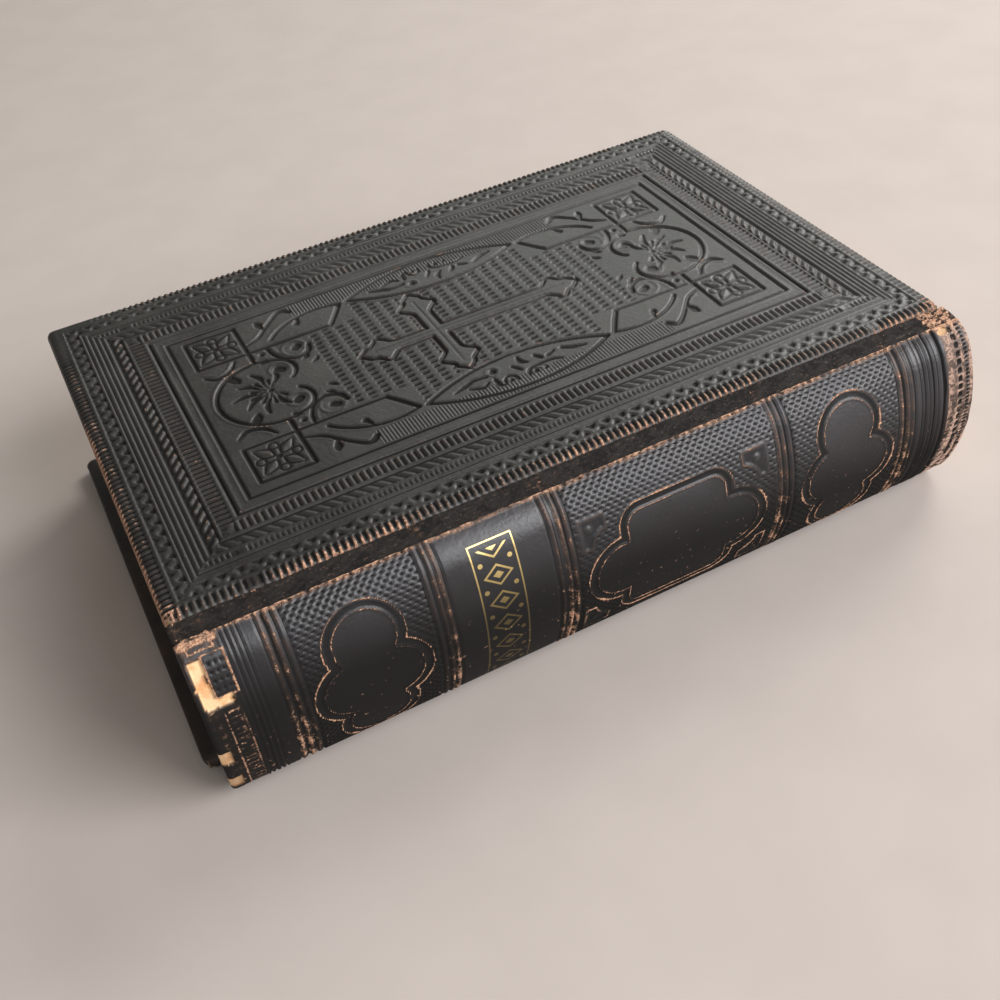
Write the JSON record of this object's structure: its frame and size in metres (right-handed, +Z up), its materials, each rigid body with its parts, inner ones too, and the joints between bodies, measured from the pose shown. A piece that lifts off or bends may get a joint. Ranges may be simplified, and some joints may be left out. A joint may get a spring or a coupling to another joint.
{
  "type": "antique leather book",
  "caption": "Closed antique book in blind-tooled black leather, its covers hinged at the joints, lying on its back cover.",
  "frame": {"origin": "on the table under the middle of the spine and the front cover, in the flat face of the back cover, which has slipped 3.5 mm toward the head", "axes": "+X runs from the head to the tail, +Y is the fore-edge side, -Y is the spine, +Z is up through the front cover"},
  "size_m": [0.1945, 0.1342, 0.047],
  "materials": {
    "pages": "dull gilt edges",
    "endpaper": "matte",
    "lining_cloth": "open weave",
    "band_thread": "sewn thread",
    "sewing_cord": "matte",
    "card": "matte",
    "spine_leather": "polished and worn",
    "pasteboard": "matte",
    "cover_leather": "satin, blind tooled",
    "pastedown": "matte"
  },
  "bodies": {
    "book_block": {"text_block": "pages", "front_flyleaf": "endpaper", "back_flyleaf": "endpaper", "spine_lining": "lining_cloth", "head_band": "band_thread", "tail_band": "band_thread", "head_cord": "sewing_cord", "middle_cord": "sewing_cord", "tail_cord": "sewing_cord", "spine_card": "card", "spine_leather": "spine_leather"},
    "front_cover": {"front_board": "pasteboard", "front_cover_leather": "cover_leather", "front_pastedown": "pastedown"},
    "back_cover": {"back_board": "pasteboard", "back_cover_leather": "cover_leather", "back_pastedown": "pastedown"}
  },
  "joints": [
    {"name": "front_joint", "type": "hinge", "parent": "book_block", "child": "front_cover", "pos_m": [0, -0.05185, 0.04715], "axis": [1, 0, 0], "range_deg": [0, 180]},
    {"name": "back_joint", "type": "hinge", "parent": "book_block", "child": "back_cover", "pos_m": [0, -0.05185, -0.00015], "axis": [-1, 0, 0], "range_deg": [0, 180]}
  ]
}
